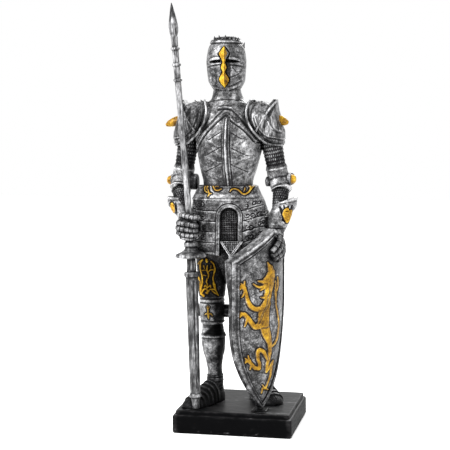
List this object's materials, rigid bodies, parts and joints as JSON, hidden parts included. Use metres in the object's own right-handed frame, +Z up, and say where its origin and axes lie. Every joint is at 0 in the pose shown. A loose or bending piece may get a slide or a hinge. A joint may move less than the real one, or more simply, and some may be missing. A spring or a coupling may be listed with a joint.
{
  "type": "medieval knight statue",
  "caption": "Standing knight in full plate armour with closed helm, holding a lance and resting a hand on a heater shield, on a stepped plinth.",
  "frame": {"origin": "centre of the plinth's underside", "axes": "+Z up along the statue's height, -Y towards the figure's front, +X towards the figure's left hand and shield"},
  "size_m": [0.0989, 0.087, 0.3012],
  "materials": {
    "black_resin": "cast resin under satin black paint with faint brush strokes",
    "silvered_resin": "cast resin painted black, dry-brushed silver on the raised work, with ochre gold ornament"
  },
  "bodies": {
    "root": {"plinth": "black_resin", "knight": "silvered_resin", "lance": "silvered_resin", "shield": "silvered_resin"}
  },
  "joints": []
}
